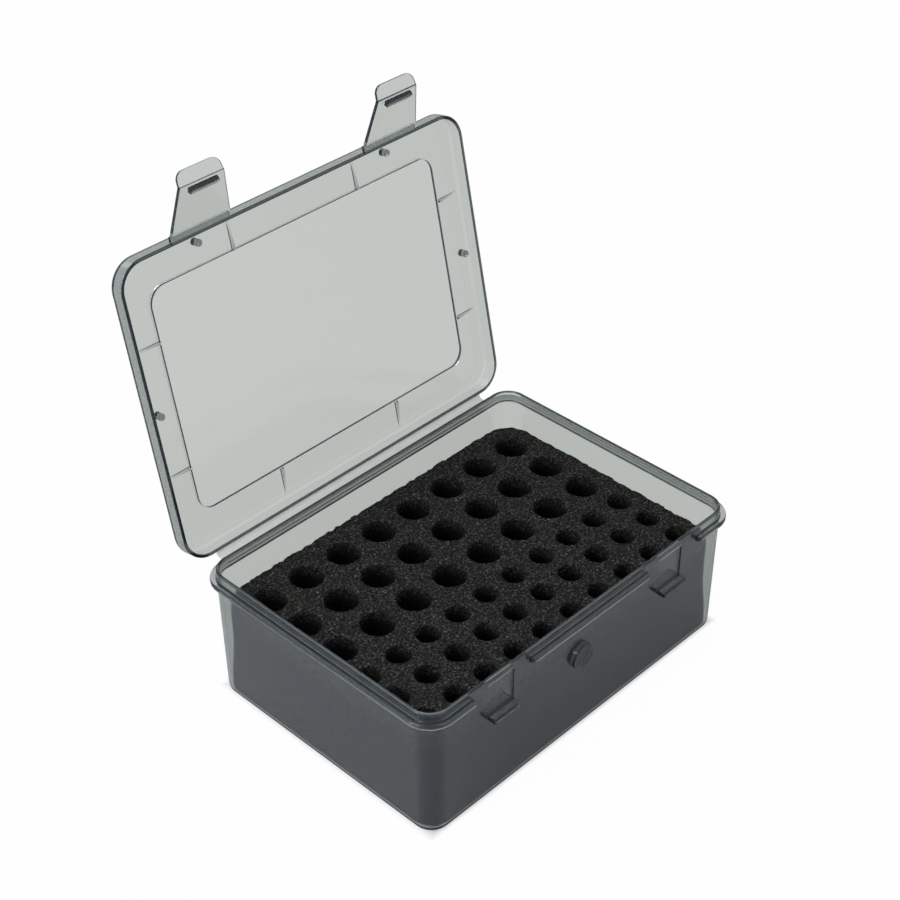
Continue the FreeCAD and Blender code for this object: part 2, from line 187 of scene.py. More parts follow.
# Stage, in metres, degrees and watts, and the lens in millimetres for a frame 36 mm wide. The
# camera's turn is its azimuth from the front, its elevation and its roll. A whiteness is for what is
# seen directly, then for what is seen as a reflection.
CAMERA_TURN = (-45.60, 36.59, -0.40)
CAMERA_PLACE = (-0.42557, -0.40441, 0.53984)
CAMERA_LENS = 76.53
LAMPS = (
    {"name": "key_lamp", "place": (-0.75, 0.15, 0.75), "aim": (-0.05, 0.0, 0.05), "size": 0.5, "power": 4.6},
    {"name": "back_lamp", "place": (0.1, 0.85, 0.85), "aim": (0.0, 0.0, 0.1), "size": 0.6, "power": 2.0},
)
AMBIENT_COLOUR = (0.88, 0.94, 1.0)
AMBIENT_STRENGTH = 0.42
WORLD_WHITENESS = (1.0, 0.6)
FLOOR_WHITENESS = (0.98, 0.05)
# The floor, in millimetres: the radii of its rings and its height. The white fades to nothing
# under the case, between these two shares of the case's half lengths.
STUDIO_FLOOR_REACH = (0.0, 400.0, 1500.0, 4000.0)
STUDIO_FLOOR_Z = -0.05
UNDER_CASE = (0.93, 1.01)


class CaseSizes(bpy.types.PropertyGroup):
    """Small sizes of the mouldings' edges and the foam's cut that a user may change."""

    lip_round: bpy.props.FloatProperty(
        name="Lip round", description="Radius along the top of the tub's lip",
        default=0.0006, min=0.0001, max=0.00074, unit="LENGTH", precision=5)
    flange_round: bpy.props.FloatProperty(
        name="Flange round", description="Radius along the flange's two outer edges",
        default=0.0009, min=0.0001, max=0.0011, unit="LENGTH", precision=5)
    lid_round: bpy.props.FloatProperty(
        name="Lid round", description="Radius along the lid's outer edge",
        default=0.0022, min=0.0005, max=0.003, unit="LENGTH", precision=5)
    foam_tear: bpy.props.FloatProperty(
        name="Foam tear", description="How far the foam's cut faces stray from flat",
        default=0.00022, min=0.0, max=0.0006, unit="LENGTH", precision=5)
    hole_round: bpy.props.FloatProperty(
        name="Hole edge round", description="How far the top edge of each hole is worn round",
        default=0.0006, min=0.0001, max=0.0012, unit="LENGTH", precision=5)


class CaseFinish(bpy.types.PropertyGroup):
    """Colours and surfaces of the plastic and the foam."""

    smoke: bpy.props.FloatVectorProperty(
        name="Smoke", description="Colour that light keeps in a millimetre and a half of the plastic",
        default=(0.66, 0.668, 0.665), size=3, subtype="COLOR", min=0.0, max=1.0)
    haze: bpy.props.FloatVectorProperty(
        name="Haze", description="Colour of the light that the plastic scatters back",
        default=(0.25, 0.33, 0.48), size=3, subtype="COLOR", min=0.0, max=1.0)
    haze_share: bpy.props.FloatProperty(
        name="Haze share", description="Share of the light that the plastic scatters",
        default=0.05, min=0.0, max=1.0, subtype="FACTOR")
    plastic_roughness: bpy.props.FloatProperty(
        name="Plastic roughness", description="Roughness of the moulded surface",
        default=0.09, min=0.0, max=1.0, subtype="FACTOR")
    foam: bpy.props.FloatVectorProperty(
        name="Foam", description="Colour of the foam's cell walls",
        default=(0.007, 0.0069, 0.0067), size=3, subtype="COLOR", min=0.0, max=1.0)
    # Painted highlight: the colour of the foam's specks. They are the foam's own grain and also painted
    # glints of light on cut cell walls.
    foam_fleck_glint: bpy.props.FloatVectorProperty(
        name="Foam flecks", description="Colour of the cut cell walls that catch the light",
        default=(0.225, 0.218, 0.205), size=3, subtype="COLOR", min=0.0, max=1.0)


def in_mm(metres):
    """A Blender length in millimetres."""
    return metres / MM


def ramp(value):
    """Smooth step from 0 to 1: three times the square less twice the cube."""
    t = np.clip(value, 0.0, 1.0)
    return t * t * (3.0 - 2.0 * t)


def arc(out, height, radius, start, end, steps=6):
    """Rows of (distance out, height) round a circle, by angles in degrees from straight out."""
    angle = np.radians(np.linspace(start, end, steps + 1))
    return np.stack([out + radius * np.cos(angle), height + radius * np.sin(angle)], -1)


def rounded_path(core, stops):
    """Anticlockwise round a rectangle: its core points and the direction outwards at each.
    Along a side the direction is the side's own; at a corner it turns while the point stays."""
    core_points = []
    outward = []
    for side, normal, along in (("right", (1, 0), (0, 1)), ("back", (0, 1), (-1, 0)),
                                ("left", (-1, 0), (0, -1)), ("front", (0, -1), (1, 0))):
        normal = np.array(normal, float)
        along = np.array(along, float)
        half_across = abs(normal @ core)
        half_along = abs(along @ core)
        places = np.concatenate([[-half_along], stops[side], [half_along]])
        core_points.append(normal * half_across + places[:, None] * along)
        outward.append(np.tile(normal, (len(places), 1)))
        turn = np.linspace(0.0, math.pi / 2, CORNER_STEPS + 1)[1:-1, None]
        core_points.append(np.tile(normal * half_across + along * half_along, (len(turn), 1)))
        outward.append(np.cos(turn) * normal + np.sin(turn) * along)
    return np.concatenate(core_points), np.concatenate(outward)


def carried(core, outward, out, height):
    """A profile carried along a path: each row is the core point plus out along the outward
    direction, at its height. out is rows by columns or rows by one, and height is rows by one."""
    flat = core + np.broadcast_to(out, (len(out), len(core)))[..., None] * outward
    height = np.broadcast_to(height, flat.shape[:2])
    return np.concatenate([flat, height[..., None]], -1)


def grid_shell(points, closed=True):
    """Vertices and quads of a grid of points, closed round its columns or open."""
    rows, columns = points.shape[:2]
    across = columns if closed else columns - 1
    r, c = np.meshgrid(np.arange(rows - 1), np.arange(across), indexing="ij")
    after = (c + 1) % columns
    quads = np.stack([r * columns + c, r * columns + after,
                      (r + 1) * columns + after, (r + 1) * columns + c], -1)
    return points.reshape(-1, 3), quads.reshape(-1, 4).tolist()


def pole(points):
    """One more row of a grid, all at the mean of its nearest row, that closes it."""
    return np.broadcast_to(points.mean(0), points.shape)[None]


def rotated(points, y, z, degrees):
    """Points turned about a line along X through (y, z), as the joints turn."""
    c = math.cos(math.radians(degrees))
    s = math.sin(math.radians(degrees))
    dy = points[..., 1] - y
    dz = points[..., 2] - z
    return np.stack([points[..., 0], y + dy * c - dz * s, z + dy * s + dz * c], -1)


def opened(points):
    """Points of the closed lid, where the open lid has them."""
    return rotated(points, HINGE_Y, HINGE_Z, -LID_OPEN)


def lattice_noise(points, wavelength, seed):
    """Smooth random field from -1 to 1: a hashed number at each corner of a cubic lattice,
    blended inside each cube along smooth ramps."""
    place = points / wavelength
    cell = np.floor(place).astype(np.int64)
    inside = ramp(place - cell)
    total = np.zeros(len(points))
    for corner in np.ndindex(2, 2, 2):
        at = cell + np.array(corner)
        mixed = at[:, 0] * 73856093 ^ at[:, 1] * 19349663 ^ at[:, 2] * 83492791 ^ seed * 2654435761
        mixed = mixed & 0xFFFFFFFF
        mixed = ((mixed ^ (mixed >> 13)) * 1274126177) & 0xFFFFFFFF
        value = ((mixed ^ (mixed >> 16)) & 0xFFFF) / 32767.5 - 1.0
        total += value * np.prod(np.where(corner, inside, 1.0 - inside), axis=1)
    return total


def make_piece(name, shells, material, sharp=SHARP):
    """Mesh object of closed shells in millimetres, with its seams and poles merged, its faces
    outwards, and edges sharper than an angle in degrees left sharp."""
    vertices = []
    faces = []
    start = 0
    for points, quads in shells:
        vertices.append(points * MM)
        faces += [[start + i for i in face] for face in quads]
        start += len(points)
    mesh = bpy.data.meshes.new(name)
    mesh.from_pydata(np.concatenate(vertices).tolist(), [], faces)
    tidy_mesh(mesh, sharp)
    mesh.materials.append(material)
    piece = bpy.data.objects.new(name, mesh)
    bpy.context.scene.collection.objects.link(piece)
    return piece


def tidy_mesh(mesh, sharp):
    """Merges doubles, points the faces outwards and shades smooth up to an angle."""
    work = bmesh.new()
    work.from_mesh(mesh)
    bmesh.ops.remove_doubles(work, verts=work.verts, dist=MERGE * MM)
    bmesh.ops.dissolve_degenerate(work, edges=work.edges, dist=MERGE * MM)
    bmesh.ops.recalc_face_normals(work, faces=work.faces)
    work.to_mesh(mesh)
    work.free()
    mesh.polygons.foreach_set("use_smooth", [True] * len(mesh.polygons))
    mesh.set_sharp_from_angle(angle=math.radians(sharp))
    mesh.update()


def weigh_normals(piece):
    """Weighted Normal modifier, so that flat faces stay flat beside their rounds."""
    modifier = piece.modifiers.new("flat_faces", "WEIGHTED_NORMAL")
    modifier.keep_sharp = True
    modifier.weight = 50


def unite(body, part):
    """Makes body and part one solid, by a Boolean union that is worked out at once."""
    modifier = body.modifiers.new("union", "BOOLEAN")
    modifier.operation = "UNION"
    modifier.solver = "EXACT"
    modifier.object = part
    bpy.context.view_layer.update()
    graph = bpy.context.evaluated_depsgraph_get()
    mesh = bpy.data.meshes.new_from_object(body.evaluated_get(graph))
    body.modifiers.clear()
    body.data = mesh
    bpy.data.objects.remove(part)
    tidy_mesh(mesh, SHARP)


def move_mesh(piece, placing):
    """Moves a piece's vertices by a function of their places in millimetres."""
    count = len(piece.data.vertices)
    places = np.empty(count * 3, np.float32)
    piece.data.vertices.foreach_get("co", places)
    moved = placing(places.reshape(-1, 3).astype(float) / MM) * MM
    piece.data.vertices.foreach_set("co", moved.astype(np.float32).ravel())
    piece.data.update()


def softened(corners, radius, steps=4):
    """Closed outline of (y, z) corners, each replaced by a curve that starts and ends radius
    from it: the square-weighted mean of start, corner and end."""
    corners = np.array(corners, float)
    before = np.roll(corners, 1, 0) - corners
    after = np.roll(corners, -1, 0) - corners
    start = corners + before / np.linalg.norm(before, axis=1)[:, None] * radius
    end = corners + after / np.linalg.norm(after, axis=1)[:, None] * radius
    t = np.linspace(0.0, 1.0, steps + 1)[None, :, None]
    curve = (1 - t) ** 2 * start[:, None] + 2 * t * (1 - t) * corners[:, None] + t ** 2 * end[:, None]
    return curve.reshape(-1, 2)


def bar_shell(outline, x_low, x_high, edge):
    """Solid on an outline of (y, z) points along X, drawn in a little at its two ends."""
    middle = outline.mean(0)
    size = np.abs(outline - middle).max()
    turn = np.radians(np.linspace(0.0, 90.0, 4))
    run_in = edge * (1 - np.sin(turn))
    draw_in = 1 - edge * (1 - np.cos(turn)) / size
    places = np.concatenate([x_low + run_in[::-1], x_high - run_in])
    scale = np.concatenate([draw_in[::-1], draw_in])
    order = np.argsort(places, kind="stable")
    rows = []
    for x, k in zip(places[order], scale[order]):
        ring = middle + (outline - middle) * k
        rows.append(np.column_stack([np.full(len(ring), x), ring]))
    points, quads = grid_shell(np.array(rows))
    count = len(outline)
    last = len(points) - count
    quads.append(list(range(count))[::-1])
    quads.append(list(range(last, last + count)))
    return points, quads


def add_node(tree, kind, inputs=None, **settings):
    """A shader node with its settings. Each of its inputs takes a value, or a link from another
    node's output."""
    made = tree.nodes.new(kind)
    for name, value in settings.items():
        setattr(made, name, value)
    for name, value in (inputs or {}).items():
        if isinstance(value, bpy.types.NodeSocket):
            tree.links.new(value, made.inputs[name])
        else:
            made.inputs[name].default_value = value
    return made


def blank_material(name):
    """A material whose node tree is empty."""
    material = bpy.data.materials.new(name)
    material.use_nodes = True
    material.node_tree.nodes.clear()
    return material


def worked_out(tree, operation, first, second=0.5):
    """Output of a Math node. Each number may be a value or a link."""
    made = add_node(tree, "ShaderNodeMath", {0: first, 1: second}, operation=operation)
    return made.outputs["Value"]


def mapped(tree, value, start, end, low=0.0, high=1.0):
    """Output of a Map Range node: low where the value is at start, and high where it is at end."""
    made = add_node(tree, "ShaderNodeMapRange", {
        "Value": value, "From Min": start, "From Max": end, "To Min": low, "To Max": high})
    return made.outputs["Result"]


def object_noise(tree, scale, detail, roughness=0.5):
    """Noise on the piece's own coordinates, in features a metre."""
    place = add_node(tree, "ShaderNodeTexCoord").outputs["Object"]
    noise = add_node(tree, "ShaderNodeTexNoise", {
        "Vector": place, "Scale": scale, "Detail": detail, "Roughness": roughness})
    return noise.outputs["Fac"]


def moulded_smoke(finish):
    """Smoke-grey polypropylene: clear plastic that darkens with depth, a little light scattered
    back from inside it, and a faintly uneven moulded surface. Lamps shine through it."""
    material = blank_material("moulded_smoke")
    tree = material.node_tree
    rough = finish.plastic_roughness
    roughness = mapped(tree, object_noise(tree, 900.0, 2.0), 0.3, 0.7, rough * 0.7, rough * 1.3)
    bump = add_node(tree, "ShaderNodeBump", {
        "Height": object_noise(tree, 45.0, 2.0), "Strength": 0.05, "Distance": 0.0006})
    clear = add_node(tree, "ShaderNodeBsdfPrincipled", {
        "Base Color": (0.94, 0.975, 0.935, 1.0), "IOR": PLASTIC_IOR, "Transmission Weight": 1.0,
        "Roughness": roughness, "Normal": bump.outputs["Normal"]})
    milk = add_node(tree, "ShaderNodeBsdfDiffuse", {"Color": (*finish.haze, 1.0)})
    body = add_node(tree, "ShaderNodeMixShader", {
        "Fac": finish.haze_share, 1: clear.outputs["BSDF"], 2: milk.outputs["BSDF"]})
    through = add_node(tree, "ShaderNodeBsdfTransparent", {"Color": (0.93, 0.93, 0.93, 1.0)})
    lit = add_node(tree, "ShaderNodeMixShader", {
        "Fac": add_node(tree, "ShaderNodeLightPath").outputs["Is Shadow Ray"],
        1: body.outputs["Shader"], 2: through.outputs["BSDF"]})
    per_metre = [-math.log(max(c, 0.01)) / (CASE_WALL * MM) for c in finish.smoke]
    density = max(per_metre) * 2.0
    kept = [1.0 - rate / density for rate in per_metre]
    depth = add_node(tree, "ShaderNodeVolumeAbsorption", {"Color": (*kept, 1.0), "Density": density})
    add_node(tree, "ShaderNodeOutputMaterial", {
        "Surface": lit.outputs["Shader"], "Volume": depth.outputs["Volume"]})
    return material


def bent_web():
    """The same plastic drawn thin and bent until it has gone milky white."""
    material = blank_material("bent_web")
    tree = material.node_tree
    crease = object_noise(tree, 1400.0, 3.0)
    tint = add_node(tree, "ShaderNodeValToRGB", {"Fac": crease})
    tint.color_ramp.elements[0].color = (0.84, 0.85, 0.83, 1.0)
    tint.color_ramp.elements[1].color = (0.95, 0.95, 0.93, 1.0)
    bump = add_node(tree, "ShaderNodeBump", {"Height": crease, "Strength": 0.3, "Distance": 0.0002})
    milky = add_node(tree, "ShaderNodeBsdfPrincipled", {
        "Base Color": tint.outputs["Color"], "Roughness": 0.4, "IOR": PLASTIC_IOR,
        "Normal": bump.outputs["Normal"]})
    glow = add_node(tree, "ShaderNodeBsdfTranslucent", {"Color": (0.95, 0.95, 0.92, 1.0)})
    both = add_node(tree, "ShaderNodeMixShader", {
        "Fac": 0.45, 1: milky.outputs["BSDF"], 2: glow.outputs["BSDF"]})
    add_node(tree, "ShaderNodeOutputMaterial", {"Surface": both.outputs["Shader"]})
    return material


def cut_foam(finish):
    """Charcoal open-cell foam: dark pores, and lighter specks on the cut cell walls, which are the foam's own
    grain and also painted glints of light.
    Both the painted glints and the bumps fade below the top, where the case covers the foam's sides, so the
    sides and the hole walls are painted darker lower down, as shade."""
    material = blank_material("cut_foam")
    tree = material.node_tree
    place = add_node(tree, "ShaderNodeTexCoord").outputs["Object"]
    pores = add_node(tree, "ShaderNodeTexVoronoi", {
        "Vector": place, "Scale": 1100.0, "Randomness": 1.0}).outputs["Distance"]
    # Painted highlight: lighter specks where noise and pores meet, standing in for glints of light on the cut
    # cell walls as well as the foam's grain.
    fleck_glints = object_noise(tree, 1050.0, 3.0, 0.7)
    glint_picked = mapped(tree, fleck_glints, 0.50, 0.70, 0.16, 1.0)
    walls = mapped(tree, pores, 0.25, 0.75, 0.15, 1.0)
    glint_amount = worked_out(tree, "MULTIPLY", glint_picked, walls)
    height = add_node(tree, "ShaderNodeSeparateXYZ", {"Vector": place}).outputs["Z"]
    # Painted shade: the painted glints fade below the top, so the foam's sides and hole walls show darker
    # lower down.
    near_top = mapped(tree, height, GLINTS_GONE_Z * MM, GLINTS_FULL_Z * MM, 0.06, 0.9)
    shown = worked_out(tree, "MULTIPLY", glint_amount, near_top)
    # The mix's sockets for colours: its factor is 0, its colours 6 and 7, and its result 2.
    colour = add_node(tree, "ShaderNodeMix", data_type="RGBA", inputs={
        0: shown, 6: (*finish.foam, 1.0), 7: (*finish.foam_fleck_glint, 1.0)})
    relief = worked_out(tree, "ADD", fleck_glints, pores)
    bump = add_node(tree, "ShaderNodeBump", {"Height": relief, "Strength": near_top, "Distance": 0.0005})
    foam = add_node(tree, "ShaderNodeBsdfPrincipled", {
        "Base Color": colour.outputs[2], "Roughness": 0.82, "Specular IOR Level": 0.0,
        "Normal": bump.outputs["Normal"]})
    add_node(tree, "ShaderNodeOutputMaterial", {"Surface": foam.outputs["BSDF"]})
    return material


def shared_material(name, maker, *arguments):
    """The material of that name, made the first time it is asked for."""
    return bpy.data.materials.get(name) or maker(*arguments)


def seen_directly(tree, direct, glossy):
    """How white a surface is shown: direct for camera and transmission rays, glossy for rays that
    a surface reflects, and 0 for the rays that light the object."""
    light_path = add_node(tree, "ShaderNodeLightPath").outputs
    either = worked_out(tree, "MAXIMUM", light_path["Is Camera Ray"], light_path["Is Transmission Ray"])
    seen = worked_out(tree, "MULTIPLY", either, direct)
    reflected = worked_out(tree, "MULTIPLY", light_path["Is Glossy Ray"], glossy)
    return worked_out(tree, "MAXIMUM", seen, reflected)


def clear_of_case(tree):
    """0 on the floor under the case and 1 clear of it, by the larger of a place's two shares of
    the case's half length and half width."""
    place = add_node(tree, "ShaderNodeTexCoord").outputs["Object"]
    parts = add_node(tree, "ShaderNodeSeparateXYZ", {"Vector": place}).outputs
    shares = []
    for axis, half in zip("XY", CORE + BASE_OUT):
        distance = worked_out(tree, "ABSOLUTE", parts[axis])
        shares.append(worked_out(tree, "DIVIDE", distance, half * MM))
    return mapped(tree, worked_out(tree, "MAXIMUM", *shares), *UNDER_CASE)


def place_camera():
    """Camera that sees the case as the photograph does, turned by its azimuth about the vertical,
    then by its elevation, then by its roll about its own line of sight."""
    azimuth, elevation, roll = (math.radians(angle) for angle in CAMERA_TURN)
    back = Vector((math.sin(azimuth) * math.cos(elevation),
                   -math.cos(azimuth) * math.cos(elevation), math.sin(elevation)))
    level = Vector((math.cos(azimuth), math.sin(azimuth), 0.0))
    rise = back.cross(level)
    right = math.cos(roll) * level + math.sin(roll) * rise
    up = back.cross(right)
    data = bpy.data.cameras.new("camera")
    data.sensor_width = 36.0
    data.lens = CAMERA_LENS
    data.clip_start = 0.01
    data.clip_end = 20.0
    camera = bpy.data.objects.new("camera", data)
    bpy.context.scene.collection.objects.link(camera)
    turn = Matrix((right, up, back)).transposed().to_4x4()
    camera.matrix_world = Matrix.Translation(Vector(CAMERA_PLACE)) @ turn
    bpy.context.scene.camera = camera


def soft_lamp(name, place, aim, size, power):
    """Square area lamp at place that faces aim."""
    data = bpy.data.lights.new(name, "AREA")
    data.shape = "SQUARE"
    data.size = size
    data.energy = power
    lamp = bpy.data.objects.new(name, data)
    lamp.location = place
    lamp.rotation_euler = (Vector(aim) - Vector(place)).to_track_quat("-Z", "Y").to_euler()
    bpy.context.scene.collection.objects.link(lamp)


def studio_floor():
    """Round pale floor that shows white, with the object's shadow faint on it."""
    turn = np.linspace(0.0, 2 * math.pi, 65)[:-1]
    reach = np.array(STUDIO_FLOOR_REACH)[:, None]
    height = np.full((len(reach), len(turn)), STUDIO_FLOOR_Z)
    points = np.stack([reach * np.cos(turn), reach * np.sin(turn), height], -1)
    material = blank_material("studio_floor")
    tree = material.node_tree
    matt = add_node(tree, "ShaderNodeBsdfDiffuse", {"Color": (0.8, 0.8, 0.8, 1.0)})
    white = add_node(tree, "ShaderNodeEmission", {"Color": (1.0, 1.0, 1.0, 1.0), "Strength": 1.0})
    whiteness = worked_out(tree, "MULTIPLY", seen_directly(tree, *FLOOR_WHITENESS), clear_of_case(tree))
    shown = add_node(tree, "ShaderNodeMixShader", {
        "Fac": whiteness, 1: matt.outputs["BSDF"], 2: white.outputs["Emission"]})
    add_node(tree, "ShaderNodeOutputMaterial", {"Surface": shown.outputs["Shader"]})
    floor = make_piece("studio_floor", [grid_shell(points)], material)
    if floor.data.polygons[0].normal.z < 0:
        floor.data.flip_normals()


def studio_world():
    """White to the eye, in reflections and through the plastic, and softer as a light."""
    world = bpy.data.worlds.new("studio")
    world.use_nodes = True
    bpy.context.scene.world = world
    tree = world.node_tree
    tree.nodes.clear()
    light = add_node(tree, "ShaderNodeBackground", {
        "Color": (*AMBIENT_COLOUR, 1.0), "Strength": AMBIENT_STRENGTH})
    white = add_node(tree, "ShaderNodeBackground", {"Color": (1.0, 1.0, 1.0, 1.0), "Strength": 1.0})
    shown = add_node(tree, "ShaderNodeMixShader", {
        "Fac": seen_directly(tree, *WORLD_WHITENESS),
        1: light.outputs["Background"], 2: white.outputs["Background"]})
    add_node(tree, "ShaderNodeOutputWorld", {"Surface": shown.outputs["Shader"]})


def wall_out(z):
    """Distance of the tub's drafted outside from the core at height z."""
    return LIP_OUT - (CASE_HEIGHT - z) * DRAFT


def tub_rows(sizes):
    """Rows round the tub's wall, as (height, out at a plain wall, out at the flange, out at a lug),
    from the foot up the outside, over the lip and down the inside."""
    foot = arc(wall_out(BOTTOM_R) - BOTTOM_R, BOTTOM_R, BOTTOM_R, -90, 0, 8)
    rows = [(z, out, out, out) for out, z in foot]
    rows += [(z, wall_out(z), wall_out(z), wall_out(z)) for z in (8.0, 14.0, 20.0, 26.0, 31.0, 38.0)]
    bevel_z = LUG_TOP - LUG_BEVEL
    bevel_out = LUG_OUT - LUG_BEVEL
    recess = wall_out(LUG_TOP) - RECESS
    lug = [(LUG_BOTTOM, wall_out(LUG_BOTTOM)), (LUG_BOTTOM, LUG_OUT - LUG_ROUND),
           (LUG_BOTTOM + LUG_ROUND_MIDDLE, LUG_OUT - LUG_ROUND_MIDDLE),
           (LUG_BOTTOM + LUG_ROUND, LUG_OUT), (42.3, LUG_OUT), (bevel_z - 0.1, LUG_OUT),
           (bevel_z + 0.05, LUG_OUT - 0.08), (LUG_TOP - 0.08, bevel_out + 0.07), (LUG_TOP, bevel_out - 0.1),
           (LUG_TOP, recess + RECESS_FOOT), (LUG_TOP + RECESS_FOOT, recess)]
    rows += [(z, wall_out(z), wall_out(z), out) for z, out in lug]
    rows += [(z, wall_out(z), wall_out(z), wall_out(z) - RECESS) for z in (46.0, 49.0, 52.0, 55.4)]
    r = in_mm(sizes.flange_round)
    under = wall_out(FLANGE_BOTTOM)
    over = wall_out(FLANGE_TOP)
    flange = [(under + 0.12, FLANGE_BOTTOM - 0.25), (under + FLANGE_ROOT, FLANGE_BOTTOM)]
    flange += arc(FLANGE_OUT - r, FLANGE_BOTTOM + r, r, -90, 0).tolist()
    flange += arc(FLANGE_OUT - r, FLANGE_TOP - r, r, 0, 90).tolist()
    flange += [(over + FLANGE_ROOT, FLANGE_TOP)]
    rows += [(z, wall_out(z), out, wall_out(z) - RECESS) for out, z in flange]
    root = ((over + 0.12, FLANGE_TOP + 0.1), (over, FLANGE_TOP + FLANGE_ROOT))
    rows += [(z, wall_out(z), out, wall_out(z)) for out, z in root]
    r = in_mm(sizes.lip_round)
    inner = LIP_OUT - CASE_WALL
    lip = arc(LIP_OUT - r, CASE_HEIGHT - r, r, 0, 90).tolist()
    lip += arc(inner + r, CASE_HEIGHT - r, r, 90, 180).tolist()
    lip += [(wall_out(z) - CASE_WALL, z) for z in (58.0, 52.0, 47.0, 36.0, 20.0, 8.0)]
    inside_r = BOTTOM_R - CASE_WALL
    foot_z = FLOOR_Z + inside_r
    lip += arc(wall_out(foot_z) - CASE_WALL - inside_r, foot_z, inside_r, 0, -90).tolist()
    rows += [(z, out, out, out) for out, z in lip]
    return np.array(rows)


def front_stops():
    """Places along the tub's front, with how much flange and how much lug there is at each. The
    flange's ends are quarter circles, and a lug's ends are a little rounded."""
    turn = np.radians(np.linspace(90.0, 0.0, 7))
    proud = FLANGE_OUT - LIP_OUT
    end_x = NOTCH_END_R * (1 - np.cos(turn))
    end_flange = (proud - NOTCH_END_R + NOTCH_END_R * np.sin(turn)) / proud
    side = [(-NOTCH_HALF - dx, share, 0.0) for dx, share in zip(end_x, end_flange)]
    side += [(-NOTCH_HALF, 0.0, 0.0), (-11.0, 0.0, 0.0), (-LUG_HALF, 0.0, 0.0), (-LUG_HALF, 0.0, 0.9),
             (-LUG_HALF + LUG_ROUND_MIDDLE, 0.0, 0.97), (-LUG_HALF + LUG_ROUND, 0.0, 1.0), (-3.0, 0.0, 1.0)]
    notch = np.array(side + [(0.0, 0.0, 1.0)] + [(-x, flange, lug) for x, flange, lug in side[::-1]])
    left_end, middle, right_end = ([(x, 1.0, 0.0) for x in places] for places in FRONT_PLAIN)
    return np.concatenate([left_end, notch - (LATCH_X, 0, 0), middle, notch + (LATCH_X, 0, 0), right_end])


def tub_shell(sizes):
    """The whole tub as one surface: its profile carried round the case, with the flange faded out
    where the latches hang, and a lug and a shallow recess there."""
    front = front_stops()
    long_side = np.linspace(-66.0, 66.0, 9)
    short_side = np.linspace(-42.0, 42.0, 7)
    stops = {"right": short_side, "back": long_side, "left": short_side, "front": front[:, 0]}
    core, outward = rounded_path(CORE, stops)
    flange = np.ones(len(core))
    lug = np.zeros(len(core))
    first = len(core) - CORNER_STEPS - len(front)
    flange[first:first + len(front)] = front[:, 1]
    lug[first:first + len(front)] = front[:, 2]
    z, plain, at_flange, at_lug = tub_rows(sizes).T[..., None]
    out = plain + flange * (at_flange - plain) + lug * (at_lug - plain)
    wall = carried(core, outward, out, z)
    under = [wall[0] * (k, k, 1) for k in (0.0, 0.4, 0.8)]
    floor = [wall[-1] * (k, k, 1) for k in (0.8, 0.4, 0.0)]
    return grid_shell(np.concatenate([under, wall, floor]))


def boss_shell():
    """Round boss on the tub's front, turned about its own axis, with a rounded edge and a face
    that is dished by the square of the distance from its edge."""
    turn = np.linspace(0.0, 2 * math.pi, 49)[:-1]
    wall_y = -(CORE[1] + wall_out(BOSS_Z))
    profile = [(0.0, -BOSS_SUNK), (BOSS_R, -BOSS_SUNK), (BOSS_R, 0.05)]
    profile += arc(BOSS_FACE_R - BOSS_EDGE_R, BOSS_PROUD - BOSS_EDGE_R, BOSS_EDGE_R, 10, 90).tolist()
    inner = BOSS_FACE_R - 2 * BOSS_EDGE_R
    profile += [(r, BOSS_PROUD - BOSS_DISH * (1 - (r / inner) ** 2)) for r in np.linspace(inner, 0.0, 7)]
    radius, proud = np.array(profile).T[..., None]
    points = np.stack([BOSS_X + radius * np.cos(turn), wall_y - proud + 0 * turn,
                       BOSS_Z + radius * np.sin(turn)], -1)
    return grid_shell(points)


def lid_rows(sizes):
    """Rows round the closed lid, as (share of the field's core, out, height), from the inside of
    the field over the step, border, skirt and rim, up the outside and in to the field's recess."""
    low = BORDER_Z - FIELD_STEP
    inner = FLANGE_OUT - LID_WALL
    border = (FIELD_OUT + inner) / 2
    rows = [(1, out, z) for out, z in arc(FIELD_OUT - STEP_R, low + STEP_R, STEP_R, -90, -15, 5)]
    rows += [(1, out, z) for out, z in arc(FIELD_OUT + STEP_R, BORDER_Z - STEP_R, STEP_R, 165, 90, 4)]
    rows += [(0.5, border, BORDER_Z)]
    skirt = arc(inner - SKIRT_R, BORDER_Z - SKIRT_R, SKIRT_R, 90, 0, 4).tolist()
    skirt += arc(inner + RIM_R, RIM_Z + RIM_R, RIM_R, 180, 270, 4).tolist()
    skirt += arc(FLANGE_OUT - RIM_R, RIM_Z + RIM_R, RIM_R, -90, 0, 4).tolist()
    r = in_mm(sizes.lid_round)
    skirt += arc(FLANGE_OUT - r, LID_TOP - r, r, 0, 90, 8).tolist()
    rows += [(0, out, z) for out, z in skirt]
    rows += [(0.5, border, LID_TOP)]
    recess_z = low + FIELD_WALL
    rows += [(1, out, z) for out, z in arc(FIELD_OUT + STEP_R, LID_TOP - STEP_R, STEP_R, 90, 165, 5)]
    rows += [(1, out, z) for out, z in arc(FIELD_OUT - STEP_R, recess_z + STEP_R, STEP_R, -15, -90, 4)]
    return np.array(rows)


def lid_shell(sizes):
    """The lid as one surface: its profile carried round, from the field's outline to the skirt's."""
    short_side = np.linspace(-36.0, 36.0, 7)
    long_side = np.linspace(-62.0, 62.0, 11)
    stops = {"right": short_side, "back": long_side, "left": short_side, "front": long_side}
    skirt_core, outward = rounded_path(CORE, stops)
    field_core, _ = rounded_path(FIELD_CORE, stops)
    share, out, z = lid_rows(sizes).T[..., None]
    at_skirt = carried(skirt_core, outward, out, z)
    at_field = carried(field_core, outward, out, z)
    share = share[..., None]
    wall = at_skirt * (1 - share) + at_field * share
    inside = [wall[0] * (k, k, 1) for k in (0.0, 0.35, 0.7)]
    outside = [wall[-1] * (k, k, 1) for k in (0.7, 0.35, 0.0)]
    return grid_shell(np.concatenate([inside, wall, outside]))


